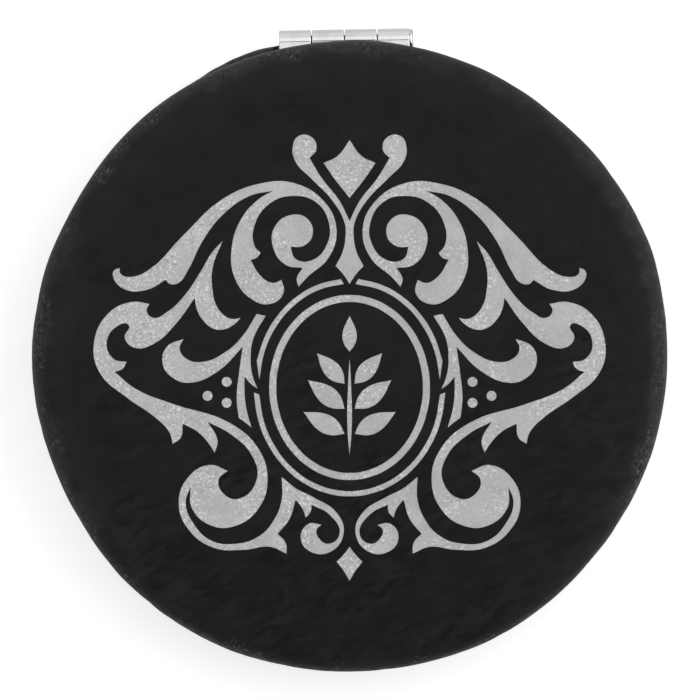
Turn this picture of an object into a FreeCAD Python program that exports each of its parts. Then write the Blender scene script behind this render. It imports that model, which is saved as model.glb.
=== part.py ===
import FreeCAD, Part
import math
import os

# Round folding compact mirror: two wrapped halves on a rolled barrel hinge.
# Lengths are in millimetres and angles in degrees. The compact is shut and lies on its base.
# The origin is the middle of the base's underside, +Z is up and the hinge is towards +Y.
# A half is drawn as the base, with its outer face at zero. The lid is the same half, turned over.

# Overall size
COMPACT_DIAMETER = 63.5
RIM_WIDTH = 5.6
PARTING_GAP = 0.2

# Layers of a half, from its outer face to its rim
LEATHERETTE = 0.6
GLUE_LINE = 0.05
FOAM = 0.8
CORE_FLOOR = 1.2
MIRROR_TAPE = 0.2
MIRROR_GLASS = 1.5
MIRROR_SETBACK = 0.7

# Core
CORE_FACE_EDGE_RADIUS = 1.6
CORE_RIM_EDGE_RADIUS = 0.5
CORE_RECESS_EDGE_RADIUS = 0.3
SIDE_DRAFT_ANGLE = 4.0

# Turned edge of the leatherette, under the mirror
TAIL_WIDTH = 3.0
TAIL_BEND_RADIUS = 0.2

# Flat mirror in the lid
MIRROR_CLEARANCE = 0.15
MIRROR_BEVEL = 0.3
TAPE_INSET = 0.6
PACKING_CLEARANCE = 0.15

# Magnifying mirror in the base
MAGNIFIER_CURVE_RADIUS = 500.0
MAGNIFIER_GLASS = 1.3
MAGNIFIER_SETBACK = 0.5
MAGNIFIER_BEVEL = 0.2
FOAM_TAPE_WIDTH = 3.6
PACKING_RING_WIDTH = 6.5

# Hinge
KNUCKLES = 4
KNUCKLE_LENGTH = 3.2
KNUCKLE_GAP = 0.12
KNUCKLE_EDGE_RADIUS = 0.1
LEAF_THICKNESS = 0.5
HINGE_INSET = 0.07
BARREL_CLEARANCE = 0.3
ROLL_SEAM = 0.1
LEAF_WALL = 0.7
LEAF_CORNER_RADIUS = 0.7
LEAF_SIDE_CLEARANCE = 0.1

# Hinge pin
PIN_CLEARANCE = 0.04
PIN_HEAD_THICKNESS = 0.32
PIN_HEAD_STEP = 0.04
PIN_HEAD_ROUND_SHARE = 0.95

# Rivets
RIVET_RADIUS = 0.45
RIVET_HEAD_RADIUS = 0.85
RIVET_DEPTH = 2.0
RIVET_CLEARANCE = 0.02
RIVET_SPREAD_SHARE = 0.66

# Magnets
MAGNET_LENGTH = 8.0
MAGNET_WIDTH = 2.2
MAGNET_HEIGHT = 2.0
MAGNET_CHAMFER = 0.2
MAGNET_CLEARANCE = 0.05

# Worked out
COMPACT_RADIUS = COMPACT_DIAMETER / 2
WRAP = LEATHERETTE + GLUE_LINE
FACE_EDGE_RADIUS = CORE_FACE_EDGE_RADIUS + WRAP
RIM_EDGE_RADIUS = CORE_RIM_EDGE_RADIUS + WRAP
RECESS_EDGE_RADIUS = CORE_RECESS_EDGE_RADIUS + WRAP
FOAM_TOP = WRAP + FOAM
CORE_BOTTOM = FOAM_TOP + GLUE_LINE
CORE_TRAY = CORE_BOTTOM + CORE_FLOOR
TRAY_LEVEL = CORE_TRAY + WRAP
MIRROR_BOTTOM = TRAY_LEVEL + MIRROR_TAPE
MIRROR_TOP = MIRROR_BOTTOM + MIRROR_GLASS
HALF_HEIGHT = MIRROR_TOP + MIRROR_SETBACK
RECESS_RADIUS = COMPACT_RADIUS - RIM_WIDTH
MIRROR_RADIUS = RECESS_RADIUS - MIRROR_CLEARANCE
TAIL_RADIUS = RECESS_RADIUS - TAIL_WIDTH
PACKING_RADIUS = TAIL_RADIUS - PACKING_CLEARANCE
TAPE_RADIUS = MIRROR_RADIUS - TAPE_INSET
CORE_RIM_TOP = HALF_HEIGHT - WRAP
CORE_RECESS_RADIUS = RECESS_RADIUS + WRAP
CORE_RADIUS = COMPACT_RADIUS - WRAP

AXIS_Z = HALF_HEIGHT + PARTING_GAP / 2
AXIS_Y = COMPACT_RADIUS - HINGE_INSET
BORE_RADIUS = AXIS_Z - CORE_RIM_TOP
BARREL_RADIUS = BORE_RADIUS + LEAF_THICKNESS
PIN_RADIUS = BORE_RADIUS - PIN_CLEARANCE
NOTCH_RADIUS = BARREL_RADIUS + BARREL_CLEARANCE
KNUCKLE_PITCH = KNUCKLE_LENGTH + KNUCKLE_GAP
HINGE_LENGTH = KNUCKLES * KNUCKLE_PITCH - KNUCKLE_GAP
HINGE_END = HINGE_LENGTH / 2
OUTER_PLACES = (0, KNUCKLES - 1)
INNER_PLACES = range(1, KNUCKLES - 1)
PIN_HEAD_START = HINGE_END + PIN_HEAD_STEP
PIN_HEAD_END = PIN_HEAD_START + PIN_HEAD_THICKNESS
NOTCH_HALF_LENGTH = PIN_HEAD_END + BARREL_CLEARANCE
LEAF_TOP = CORE_RIM_TOP
LEAF_BOTTOM = LEAF_TOP - LEAF_THICKNESS
LEAF_INNER_END = CORE_RECESS_RADIUS + LEAF_WALL
LEAF_OUTER_END = AXIS_Y - NOTCH_RADIUS
LEAF_MIDDLE = (LEAF_INNER_END + LEAF_OUTER_END) / 2
RIVET_X = RIVET_SPREAD_SHARE * HINGE_END
MAGNET_Y = -(CORE_RECESS_RADIUS + CORE_RADIUS) / 2

VECTOR = FreeCAD.Vector
UP = VECTOR(0, 0, 1)
ALONG_X = VECTOR(1, 0, 0)
ALONG_Y = VECTOR(0, 1, 0)
CENTRE = VECTOR(0, 0, 0)
FULL_TURN = 360
HALF_TURN = 180
QUARTER_TURN = 90
DOWNWARD = -90
OUTWARD = 0
UPWARD = 90
INWARD = 180


def at(radius, height):
    """Point of a section."""
    return VECTOR(radius, 0, height)


def on_arc(centre, radius, angle):
    """Point of a section, at an angle round a centre."""
    turn = math.radians(angle)
    return centre + at(radius * math.cos(turn), radius * math.sin(turn))


def arc(centre, radius, start, end):
    """Edge of a section along a circle."""
    middle = (start + end) / 2
    points = [on_arc(centre, radius, angle) for angle in (start, middle, end)]
    return Part.Arc(*points).toShape()


def section(pieces):
    """Flat face inside a closed line of points and arcs, with straight edges between them."""
    edges = []
    first = None
    last = None
    for piece in pieces:
        is_point = isinstance(piece, VECTOR)
        start = piece if is_point else piece.firstVertex(True).Point
        end = piece if is_point else piece.lastVertex(True).Point
        if last is None:
            first = start
        else:
            edges.append(Part.LineSegment(last, start).toShape())
        if not is_point:
            edges.append(piece)
        last = end
    edges.append(Part.LineSegment(last, first).toShape())
    return Part.Face(Part.Wire(edges))


def turned(pieces):
    """Solid of revolution round the compact's own axis."""
    return section(pieces).revolve(CENTRE, UP, FULL_TURN)


def ring(inner, outer, bottom, top):
    """Flat disc or ring with square edges."""
    return turned([at(inner, bottom), at(outer, bottom), at(outer, top), at(inner, top)])


def block(half_width, back, front, bottom, top):
    """Box that is centred across the compact."""
    corner = VECTOR(-half_width, back, bottom)
    return Part.makeBox(2 * half_width, front - back, top - bottom, corner)


def rod(radius, start, end):
    """Cylinder on the hinge's axis."""
    return Part.makeCylinder(radius, end - start, VECTOR(start, AXIS_Y, AXIS_Z), ALONG_X)


def round_edges(shape, radius, wanted):
    """Copy of a shape with the wanted edges rounded."""
    return shape.makeFillet(radius, [edge for edge in shape.Edges if wanted(edge)])


def turn_over(shape):
    """The lid's copy of a piece that is drawn for the base."""
    lid = shape.copy()
    lid.rotate(VECTOR(0, 0, AXIS_Z), ALONG_Y, HALF_TURN)
    return lid


def rim_edge_centre():
    """Centre of the rounding between the leaning side and the rim's top."""
    lean = math.radians(SIDE_DRAFT_ANGLE)
    top = HALF_HEIGHT - RIM_EDGE_RADIUS
    side_start = on_arc(FACE_EDGE_CENTRE, FACE_EDGE_RADIUS, SIDE_DRAFT_ANGLE)
    side_end_height = top + RIM_EDGE_RADIUS * math.sin(lean)
    set_in = (side_end_height - side_start.z) * math.tan(lean)
    return at(side_start.x - set_in - RIM_EDGE_RADIUS * math.cos(lean), top)


FACE_EDGE_CENTRE = at(COMPACT_RADIUS - FACE_EDGE_RADIUS, FACE_EDGE_RADIUS)
RIM_EDGE_CENTRE = rim_edge_centre()
RECESS_EDGE_CENTRE = at(RECESS_RADIUS + RECESS_EDGE_RADIUS, HALF_HEIGHT - RECESS_EDGE_RADIUS)
TAIL_BEND_CENTRE = at(RECESS_RADIUS - TAIL_BEND_RADIUS, TRAY_LEVEL + TAIL_BEND_RADIUS)


def face_edge_angle(height):
    """Angle round the core's face edge at which its rounding has a height."""
    rise = height - FACE_EDGE_CENTRE.z
    return math.degrees(math.asin(rise / CORE_FACE_EDGE_RADIUS))


def wrap_bends(depth, start=DOWNWARD):
    """Bends of the section line at a depth below the outside: centre, radius and angles of each."""
    return [
        (FACE_EDGE_CENTRE, FACE_EDGE_RADIUS - depth, start, SIDE_DRAFT_ANGLE),
        (RIM_EDGE_CENTRE, RIM_EDGE_RADIUS - depth, SIDE_DRAFT_ANGLE, UPWARD),
        (RECESS_EDGE_CENTRE, RECESS_EDGE_RADIUS - depth, UPWARD, INWARD),
        (TAIL_BEND_CENTRE, TAIL_BEND_RADIUS + depth, OUTWARD, DOWNWARD),
    ]


def inward_line(depth, start=DOWNWARD):
    """Arcs of that line from the face's edge over the rim to the tray."""
    return [arc(*bend) for bend in wrap_bends(depth, start)]


def outward_line(depth):
    """The same arcs from the tray back to the face's edge."""
    bends = reversed(wrap_bends(depth))
    return [arc(centre, radius, end, start) for centre, radius, start, end in bends]


def hinge_notch():
    """Room for the barrel in the back of each rim."""
    return rod(NOTCH_RADIUS, -NOTCH_HALF_LENGTH, NOTCH_HALF_LENGTH)


def leaf_pocket():
    """Room for the leaf, from its inner end out to the barrel."""
    half_width = HINGE_END + LEAF_SIDE_CLEARANCE
    inner_end = LEAF_INNER_END - LEAF_SIDE_CLEARANCE
    return block(half_width, inner_end, AXIS_Y, LEAF_BOTTOM, LEAF_TOP + GLUE_LINE)


def magnet_block(spare):
    """Bar at the front of the rim, with spare room round it."""
    half_width = MAGNET_WIDTH / 2 + spare
    back = MAGNET_Y - half_width
    front = MAGNET_Y + half_width
    bottom = CORE_RIM_TOP - MAGNET_HEIGHT - spare
    return block(MAGNET_LENGTH / 2 + spare, back, front, bottom, CORE_RIM_TOP)


def rivets(spare):
    """Countersunk rivets down through the leaf into the core, with spare room round them."""
    shank = RIVET_RADIUS + spare
    head = RIVET_HEAD_RADIUS + spare
    bottom = LEAF_BOTTOM - RIVET_DEPTH - spare
    outline = [
        at(0, bottom),
        at(shank, bottom),
        at(shank, LEAF_BOTTOM),
        at(head, LEAF_TOP),
        at(0, LEAF_TOP),
    ]
    pieces = []
    for side in (-1, 1):
        rivet = turned(outline)
        rivet.translate(VECTOR(side * RIVET_X, LEAF_MIDDLE, 0))
        pieces.append(rivet)
    return Part.makeCompound(pieces)


def leatherette():
    """Cover in one even thickness: face, side, rim, recess wall and turned edge."""
    tail_end = [at(TAIL_RADIUS, TRAY_LEVEL), at(TAIL_RADIUS, TRAY_LEVEL - LEATHERETTE)]
    outside = [at(0, 0)] + inward_line(0)
    glued_side = outward_line(LEATHERETTE) + [at(0, LEATHERETTE)]
    cover = turned(outside + tail_end + glued_side)
    return cover.cut(hinge_notch()).cut(leaf_pocket())


def foam_pad():
    """Pad under the face, thinned out over the core's edge."""
    edge = arc(FACE_EDGE_CENTRE, CORE_FACE_EDGE_RADIUS, DOWNWARD, face_edge_angle(FOAM_TOP))
    return turned([at(0, WRAP), edge, at(0, FOAM_TOP)])


def core():
    """Moulded tray with a rounded rim and pockets for the leaf, its rivets and the magnet."""
    outside = inward_line(WRAP, face_edge_angle(CORE_BOTTOM))
    tray = turned([at(0, CORE_BOTTOM)] + outside + [at(0, CORE_TRAY)])
    for tool in (hinge_notch(), leaf_pocket(), rivets(RIVET_CLEARANCE), magnet_block(MAGNET_CLEARANCE)):
        tray = tray.cut(tool)
    return tray


def magnet():
    """Bar magnet with its edges broken."""
    bar = magnet_block(0)
    return bar.makeChamfer(MAGNET_CHAMFER, bar.Edges)


def knuckle(place):
    """Sheet that runs out from the leaf and is rolled round the pin, at one of the hinge's places."""
    reach = AXIS_Y - LEAF_OUTER_END
    roll_end = INWARD + math.degrees(math.asin((BORE_RADIUS - ROLL_SEAM) / BARREL_RADIUS))
    sheet = section([
        at(-reach, -BARREL_RADIUS),
        arc(CENTRE, BARREL_RADIUS, DOWNWARD, roll_end),
        arc(CENTRE, BORE_RADIUS, roll_end, DOWNWARD),
        at(-reach, -BORE_RADIUS),
    ])
    roll = sheet.extrude(-KNUCKLE_LENGTH * ALONG_Y)
    roll = round_edges(roll, KNUCKLE_EDGE_RADIUS, is_barrel_end)
    roll.rotate(CENTRE, UP, QUARTER_TURN)
    roll.translate(VECTOR(place * KNUCKLE_PITCH - HINGE_END, AXIS_Y, AXIS_Z))
    return roll


def is_barrel_end(edge):
    """Whether an edge is the outer edge of a knuckle's end."""
    curve = edge.Curve
    return isinstance(curve, Part.Circle) and curve.Radius > BORE_RADIUS + GLUE_LINE


def is_leaf_corner(edge):
    """Whether an edge stands upright at the leaf's inner end."""
    middle = edge.CenterOfMass
    upright = abs(middle.z - LEAF_BOTTOM - LEAF_THICKNESS / 2) < GLUE_LINE
    return upright and middle.y < LEAF_MIDDLE and abs(middle.x) > RIVET_X


def hinge_leaf(places):
    """Leaf under the wrapped rim with the knuckles at its places of the hinge."""
    plate = block(HINGE_END, LEAF_INNER_END, LEAF_OUTER_END, LEAF_BOTTOM, LEAF_TOP)
    leaf = round_edges(plate, LEAF_CORNER_RADIUS, is_leaf_corner)
    for place in places:
        leaf = leaf.fuse(knuckle(place))
    return leaf.removeSplitter().cut(rivets(RIVET_CLEARANCE))


def hinge_pin():
    """Pin with a rounded head at one end."""
    head = rod(BARREL_RADIUS - PIN_HEAD_STEP, PIN_HEAD_START, PIN_HEAD_END)
    head = round_edges(
        head,
        PIN_HEAD_ROUND_SHARE * PIN_HEAD_THICKNESS,
        lambda edge: abs(edge.CenterOfMass.x - PIN_HEAD_END) < PIN_HEAD_STEP,
    )
    return rod(PIN_RADIUS, -HINGE_END, PIN_HEAD_START).fuse(head).removeSplitter()


def flat_mirror():
    """Glass disc with a bevel round its face."""
    return turned([
        at(0, MIRROR_BOTTOM),
        at(MIRROR_RADIUS, MIRROR_BOTTOM),
        at(MIRROR_RADIUS, MIRROR_TOP - MIRROR_BEVEL),
        at(MIRROR_RADIUS - MIRROR_BEVEL, MIRROR_TOP),
        at(0, MIRROR_TOP),
    ])


MAGNIFIER_EDGE_TOP = HALF_HEIGHT - MAGNIFIER_SETBACK
MAGNIFIER_EDGE_DROP = math.sqrt(MAGNIFIER_CURVE_RADIUS ** 2 - MIRROR_RADIUS ** 2)
MAGNIFIER_CENTRE = at(0, MAGNIFIER_EDGE_TOP + MAGNIFIER_EDGE_DROP)


def bowl(radius, start, end):
    """Arc of the magnifier's section between two distances from its middle."""
    angles = [DOWNWARD + math.degrees(math.asin(distance / radius)) for distance in (start, end)]
    return arc(MAGNIFIER_CENTRE, radius, *angles)


def magnifying_mirror():
    """Evenly thick glass, bowed to a shallow dish, with a bevel round its face."""
    back_radius = MAGNIFIER_CURVE_RADIUS + MAGNIFIER_GLASS
    return turned([
        bowl(back_radius, 0, MIRROR_RADIUS),
        at(MIRROR_RADIUS, MAGNIFIER_EDGE_TOP - MAGNIFIER_BEVEL),
        bowl(MAGNIFIER_CURVE_RADIUS, MIRROR_RADIUS - MAGNIFIER_BEVEL, 0),
    ])


def foam_tape():
    """Ring of foam tape, pressed to the back of the bowed glass."""
    inner = TAPE_RADIUS - FOAM_TAPE_WIDTH
    seat_radius = MAGNIFIER_CURVE_RADIUS + MAGNIFIER_GLASS + GLUE_LINE
    seat = bowl(seat_radius, TAPE_RADIUS, inner)
    return turned([at(inner, TRAY_LEVEL), at(TAPE_RADIUS, TRAY_LEVEL), seat])


def packing(width):
    """Card on the tray, level with the turned edge round it."""
    inner = PACKING_RADIUS - width
    return ring(inner, PACKING_RADIUS, TRAY_LEVEL - LEATHERETTE, TRAY_LEVEL)


pieces = {
    "base_leatherette": leatherette(),
    "base_foam_pad": foam_pad(),
    "base_core": core(),
    "base_hinge_leaf": hinge_leaf(INNER_PLACES),
    "base_hinge_rivets": rivets(0),
    "base_magnet": magnet(),
    "base_packing_ring": packing(PACKING_RING_WIDTH),
    "base_mirror_tape": foam_tape(),
    "base_mirror": magnifying_mirror(),
    "hinge_pin": hinge_pin(),
    "lid_leatherette": turn_over(leatherette()),
    "lid_foam_pad": turn_over(foam_pad()),
    "lid_core": turn_over(core()),
    "lid_hinge_leaf": turn_over(hinge_leaf(OUTER_PLACES)),
    "lid_hinge_rivets": turn_over(rivets(0)),
    "lid_magnet": turn_over(magnet()),
    "lid_packing_card": turn_over(packing(PACKING_RADIUS)),
    "lid_mirror_tape": turn_over(ring(0, TAPE_RADIUS, TRAY_LEVEL, MIRROR_BOTTOM)),
    "lid_mirror": turn_over(flat_mirror()),
}

os.makedirs("parts", exist_ok=True)
for node, shape in pieces.items():
    shape.exportStep("parts/" + node + ".step")
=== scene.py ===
import math

import bmesh
import bpy
from mathutils import Matrix, Vector, noise


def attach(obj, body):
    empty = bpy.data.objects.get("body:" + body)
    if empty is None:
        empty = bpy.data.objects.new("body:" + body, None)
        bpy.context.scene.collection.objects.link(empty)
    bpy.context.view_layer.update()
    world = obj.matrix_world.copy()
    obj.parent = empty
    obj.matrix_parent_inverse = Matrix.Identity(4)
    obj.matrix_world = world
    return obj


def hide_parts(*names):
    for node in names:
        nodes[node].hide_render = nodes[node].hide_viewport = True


# A round folding compact in wrinkled black leatherette, with a silver scroll ornament let into its lid.
# Lengths are in metres and angles in degrees. The compact is shut, with its hinge towards +Y.
# A half is drawn as the base, with its outer face at zero height. The lid is turned over from it.

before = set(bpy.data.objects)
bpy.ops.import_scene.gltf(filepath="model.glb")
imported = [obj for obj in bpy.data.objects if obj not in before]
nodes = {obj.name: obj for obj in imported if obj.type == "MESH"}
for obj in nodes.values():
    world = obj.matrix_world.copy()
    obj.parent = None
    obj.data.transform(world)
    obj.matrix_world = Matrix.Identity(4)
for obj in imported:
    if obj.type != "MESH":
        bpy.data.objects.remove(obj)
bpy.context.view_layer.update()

MM = 0.001
HALF_TURN = 180
FULL_TURN = 360

# Halves
TOTAL_HEIGHT = 11.7 * MM
AXIS_HEIGHT = TOTAL_HEIGHT / 2
COVER_THICKNESS = 0.6 * MM

# Bends of the cover's section: middle across and up, radius, first and last angle
FACE_EDGE = (29.5 * MM, 2.25 * MM, 2.25 * MM, -90, 4)
RIM_EDGE = (30.44 * MM, 4.6 * MM, 1.15 * MM, 4, 90)
RECESS_EDGE = (27.1 * MM, 4.8 * MM, 0.95 * MM, 90, 180)
TAIL_BEND = (25.95 * MM, 3.55 * MM, 0.2 * MM, 0, -90)
COVER_BENDS = (FACE_EDGE, RIM_EDGE, RECESS_EDGE, TAIL_BEND)
FLAT_RADIUS = FACE_EDGE[0]
TAIL_RADIUS = 23.15 * MM
TRAY_LEVEL = 3.35 * MM

# Fineness of the meshes
FACE_SQUARES = 200
OUTSIDE_STEP = 0.5 * MM
GLUED_SIDE_STEP = 1.6 * MM
LEAST_BEND_STEPS = 2
MOST_SIDES = 4
SHARP_ANGLE = 40
SLIVER = 0.0005 * MM
LEAST_LENGTH = 0.001 * MM
LEAST_RADIUS = 1 * MM
ORDER_WEIGHTS = (1, 1.618, 2.718)

# Room for the hinge in the back of each cover
HINGE_AXIS_Y = 31.68 * MM
NOTCH_RADIUS = 1.55 * MM
NOTCH_HALF_LENGTH = 7.24 * MM
NOTCH_SIDES = 72
LEAF_SLOT = (13.36 * MM, 3.6 * MM, 0.57 * MM)
LEAF_SLOT_MIDDLE = (0, 29.9 * MM, 4.885 * MM)

# Ornament in the lid
ORNAMENT_UNIT = 0.1 * MM
ORNAMENT_TURN = -1.04
ORNAMENT_MIDDLE = (-0.5, -0.25)
ORNAMENT_SINK = 0.03 * MM
ORNAMENT_BOTTOM = 0.27 * MM
ORNAMENT_CUT = 0.3 * MM
CUTTER_TOP = 0.5 * MM
OUTLINE_STEPS = 5

# Outlines of the ornament's left side, in ornament units from the lid's middle.
# Each row is a smooth stretch that starts at a corner. Axis pieces begin and end on the middle line.
TOP_LOZENGE = (
    ((0, 216), (-12, 200)),
    ((-26, 193), (-15, 177)),
    ((0, 158),),
)
BOTTOM_LOZENGE = (
    ((0, -191), (-7, -200)),
    ((-13, -206), (-6, -215)),
    ((0, -225),),
)
BALL_STEM = (
    ((0, 135), (-10, 155), (-28, 178)),
    ((-40, 198), (-33, 207), (-38, 219), (-51, 220), (-57, 209), (-54, 194), (-39, 178), (-17, 155),
     (-5, 133), (-4, 122), (-7, 104)),
    ((-14, 90), (-6, 81)),
    ((0, 72),),
)
WING_SCROLL = (
    ((-230, 88), (-229, 82), (-219, 79), (-201, 86), (-167, 120), (-127, 157), (-87, 173), (-56, 173),
     (-25, 154), (-13, 126), (-21, 98), (-42, 79)),
    ((-51, 69), (-53, 77)),
    ((-47, 88), (-64, 91), (-77, 110), (-75, 129), (-59, 141), (-42, 137), (-37, 121), (-46, 110)),
    ((-59, 109), (-54, 97), (-37, 96), (-22, 113), (-21, 134), (-34, 154), (-56, 160), (-79, 153),
     (-95, 131), (-95, 110)),
    ((-89, 103), (-93, 98)),
    ((-99, 96), (-89, 80), (-77, 73)),
    ((-68, 76), (-66, 63), (-79, 52), (-97, 56), (-115, 78), (-118, 108), (-109, 136), (-92, 156)),
    ((-77, 165), (-100, 160), (-127, 141), (-147, 115), (-162, 85), (-171, 73), (-180, 72)),
    ((-184, 76), (-203, 66), (-226, 67), (-237, 81), (-235, 86)),
)
PALM_SCROLL = (
    ((-127, 115), (-138, 103), (-148, 86), (-168, 57), (-184, 43), (-196, 38), (-203, 45)),
    ((-200, 52), (-218, 54), (-242, 42), (-256, 11), (-250, -17), (-224, -41), (-194, -62), (-180, -77)),
    ((-177, -88), (-169, -82)),
    ((-167, -68), (-152, -76), (-140, -89)),
    ((-135, -97), (-132, -85)),
    ((-142, -66), (-118, -79), (-97, -101), (-93, -124), (-111, -143), (-126, -138), (-131, -124)),
    ((-122, -115), (-140, -109), (-162, -122), (-171, -148), (-161, -174), (-136, -192), (-105, -194),
     (-80, -191)),
    ((-63, -198), (-64, -187)),
    ((-72, -178), (-60, -163)),
    ((-54, -144), (-47, -153)),
    ((-44, -162), (-39, -156)),
    ((-38, -149), (-20, -159), (-10, -178), (-21, -188), (-31, -182), (-33, -174)),
    ((-28, -169), (-41, -168), (-49, -182), (-39, -196), (-19, -196), (-6, -178), (-12, -158), (-37, -141),
     (-53, -133)),
    ((-68, -121), (-68, -144), (-75, -163), (-90, -180), (-114, -188), (-138, -185), (-156, -168),
     (-164, -147)),
    ((-159, -131), (-158, -152), (-138, -170), (-114, -170), (-92, -154), (-82, -125), (-91, -93),
     (-120, -67), (-177, -48), (-214, -33)),
    ((-235, -16), (-227, -13)),
    ((-223, -6), (-236, -3), (-243, 13), (-232, 30), (-221, 31), (-225, 18), (-215, 8), (-196, 12),
     (-173, 33)),
    ((-155, 58), (-153, 47), (-147, 36), (-138, 28), (-128, 26), (-116, 31)),
    ((-109, 38), (-118, 37), (-126, 41), (-133, 50), (-137, 65), (-137, 88)),
)
SPIKE_LEAF = (
    ((-93, 42), (-107, 20), (-124, 4), (-147, -6), (-163, -3), (-170, 7)),
    ((-166, 17), (-183, 9), (-187, -8), (-177, -22), (-160, -27), (-131, -15)),
    ((-107, 9), (-111, -20), (-113, -42)),
    ((-111, -62), (-104, -67)),
    ((-98, -72), (-103, -54), (-105, -38)),
    ((-105, -21), (-99, -28)),
    ((-92, -33), (-97, -20), (-99, -2), (-96, 18)),
    ((-84, 40),),
)
SIDE_DOTS = ((-123, -26), (-142, -40), (-123, -47))
DOT_RADIUS = 5

# Ovals round the middle of the ornament: half width and half height, and angles round them
OVAL_MIDDLE = -31.6
INNER_OVAL = (80.4, 92.6)
INNER_OVAL_BAND = 7.1
OUTER_OVAL = (95.9, 109.0)
OUTER_OVAL_BAND = 5.3
OUTER_TOP_ANGLES = (95.2, 165.8)
OUTER_TOP_INNER_ANGLES = (93.7, 175.7)
OUTER_BOTTOM_ANGLE = 182.6
OUTER_BOTTOM_INNER_ANGLE = 183.9
OVAL_STEP = 15

# Leaf sprig inside the ovals
SPRIG_LEAF = (
    ((0, 0), (-6, 9), (-7, 19)),
    ((0, 36),),
)
SPRIG_STEM = (
    ((0, -100), (-2.2, -72), (-1.6, -30)),
    ((0, -2),),
)
SPRIG_TOP = (0, 4)
SPRIG_TOP_SIZE = 1.0
SPRIG_PAIRS = ((-78, 62, 1.3), (-53, 52, 1.3), (-28, 42, 1.15))
SPRIG_LEAF_OFFSET = 5

# Wrinkles of the covers, which run up to the right and are stronger towards the front
WRINKLE_LEAN = 25
WRINKLE_LENGTH = 4.8 * MM
WRINKLE_WIDTH = 1.5 * MM
WRINKLE_SWAY = 0.7 * MM
WRINKLE_SWAY_SIZE = 3.5 * MM
CREASE_SHARE = 0.5
CREASE_DEPTH = 0.05 * MM
MOUND_DEPTH = 0.05 * MM
MOUND_STRETCH = 0.6
PATCH_SIZE = 7 * MM
PATCH_START = -0.2
PATCH_END = 0.5
PATCH_FRONT_REACH = 80 * MM
PUCKER_DEPTH = 0.05 * MM
PUCKER_WIDTH = 1.1 * MM
PUCKER_START = 27.0 * MM
PUCKER_END = 29.5 * MM
WRINKLE_SEED = 7
LID_WRINKLE_PLACE = Vector((3.1, 7.7, 1.3))
BASE_WRINKLE_PLACE = Vector((11.4, 2.9, 5.2))

# Unevenness of each outline: angle round from +X, and millimetres outwards
LID_SWELL = ((0, 0.12), (20, 0.32), (36, 0.1), (47, -0.09), (60, -0.07), (80, -0.1), (87, -0.02),
             (94, -0.16), (99, -0.18), (120, -0.1), (131, -0.04), (148, -0.2), (168, 0.1), (179, 0.2),
             (208, 0.02), (227, 0.23), (239, 0.25), (259, 0.07), (271, -0.04), (299, 0.12), (319, -0.02),
             (348, 0.13))
BASE_SWELL = ((0, 0), (60, 0), (94, 0.1), (102, 0.54), (106, 0.68), (110, 0.63), (114, 0.48), (118, 0.28),
              (122, 0.1), (145, -0.1), (180, 0.1), (270, 0))
SWELL_START = 27.5 * MM
SWELL_END = 30.8 * MM

# Foam under each face
FOAM_BOTTOM = 0.65 * MM
FOAM_TOP = 1.45 * MM
FOAM_EDGE_RADIUS = 1.6 * MM
FOAM_EDGE_STEPS = 5
FOAM_SIDES = 96


def smooth_step(value, start, end):
    """Soft ramp from 0 at start to 1 at end."""
    share = min(1, max(0, (value - start) / (end - start)))
    return share * share * (3 - 2 * share)


def put_in_order(bm):
    """Numbers a mesh by place, so that every run gives the same one."""
    def rank(place):
        return sum(weight * length for weight, length in zip(ORDER_WEIGHTS, place))

    bm.verts.sort(key=lambda vert: rank(vert.co))
    bm.edges.sort(key=lambda edge: rank(edge.verts[0].co + edge.verts[1].co))
    bm.faces.sort(key=lambda face: rank(face.calc_center_median()))


def add_piece(name, bm):
    """Object made from a bmesh."""
    put_in_order(bm)
    mesh = bpy.data.meshes.new(name)
    bm.to_mesh(mesh)
    bm.free()
    piece = bpy.data.objects.new(name, mesh)
    bpy.context.scene.collection.objects.link(piece)
    return piece


def settle(piece):
    """Puts what a piece's modifiers make into its own mesh."""
    graph = bpy.context.evaluated_depsgraph_get()
    mesh = bpy.data.meshes.new_from_object(piece.evaluated_get(graph))
    piece.modifiers.clear()
    piece.data = mesh


def carve(piece, cutter, operation):
    """Cuts a piece with another, or keeps what the two share."""
    modifier = piece.modifiers.new("carve", "BOOLEAN")
    modifier.operation = operation
    modifier.solver = "EXACT"
    modifier.object = cutter
    settle(piece)


def clean_cuts(piece):
    """Takes out the slivers that cutting leaves, and splits faces of many sides."""
    bm = bmesh.new()
    bm.from_mesh(piece.data)
    bmesh.ops.remove_doubles(bm, verts=bm.verts, dist=SLIVER)
    bmesh.ops.dissolve_degenerate(bm, edges=bm.edges, dist=SLIVER)
    many_sided = [face for face in bm.faces if len(face.verts) > MOST_SIDES]
    bmesh.ops.triangulate(bm, faces=many_sided)
    bm.to_mesh(piece.data)
    bm.free()


def shade_smooth(piece):
    """Smooth shading with sharp edges where the surface turns hard."""
    for face in piece.data.polygons:
        face.use_smooth = True
    piece.data.set_sharp_from_angle(angle=math.radians(SHARP_ANGLE))


def disc_grid(bm, radius, height):
    """Flat disc of even squares."""
    grid = bmesh.ops.create_grid(bm, x_segments=FACE_SQUARES, y_segments=FACE_SQUARES, size=1)
    for vert in grid["verts"]:
        x, y, _ = vert.co
        across = radius * x * math.sqrt(1 - y * y / 2)
        along = radius * y * math.sqrt(1 - x * x / 2)
        vert.co = (across, along, height)
    return [edge for edge in bm.edges if edge.is_boundary]


def section_line(depth, step):
    """Section of the cover at a depth below its outside, from the face over the rim to the turned end."""
    line = []
    for across, up, radius, start, end in COVER_BENDS:
        reach = radius - depth if end > start else radius + depth
        turn = math.radians(end - start)
        count = max(LEAST_BEND_STEPS, math.ceil(abs(turn) * reach / step))
        for index in range(count + 1):
            angle = math.radians(start) + turn * index / count
            line.append((across + reach * math.cos(angle), up + reach * math.sin(angle)))
    line.append((TAIL_RADIUS, TRAY_LEVEL - depth))
    return line


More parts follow.
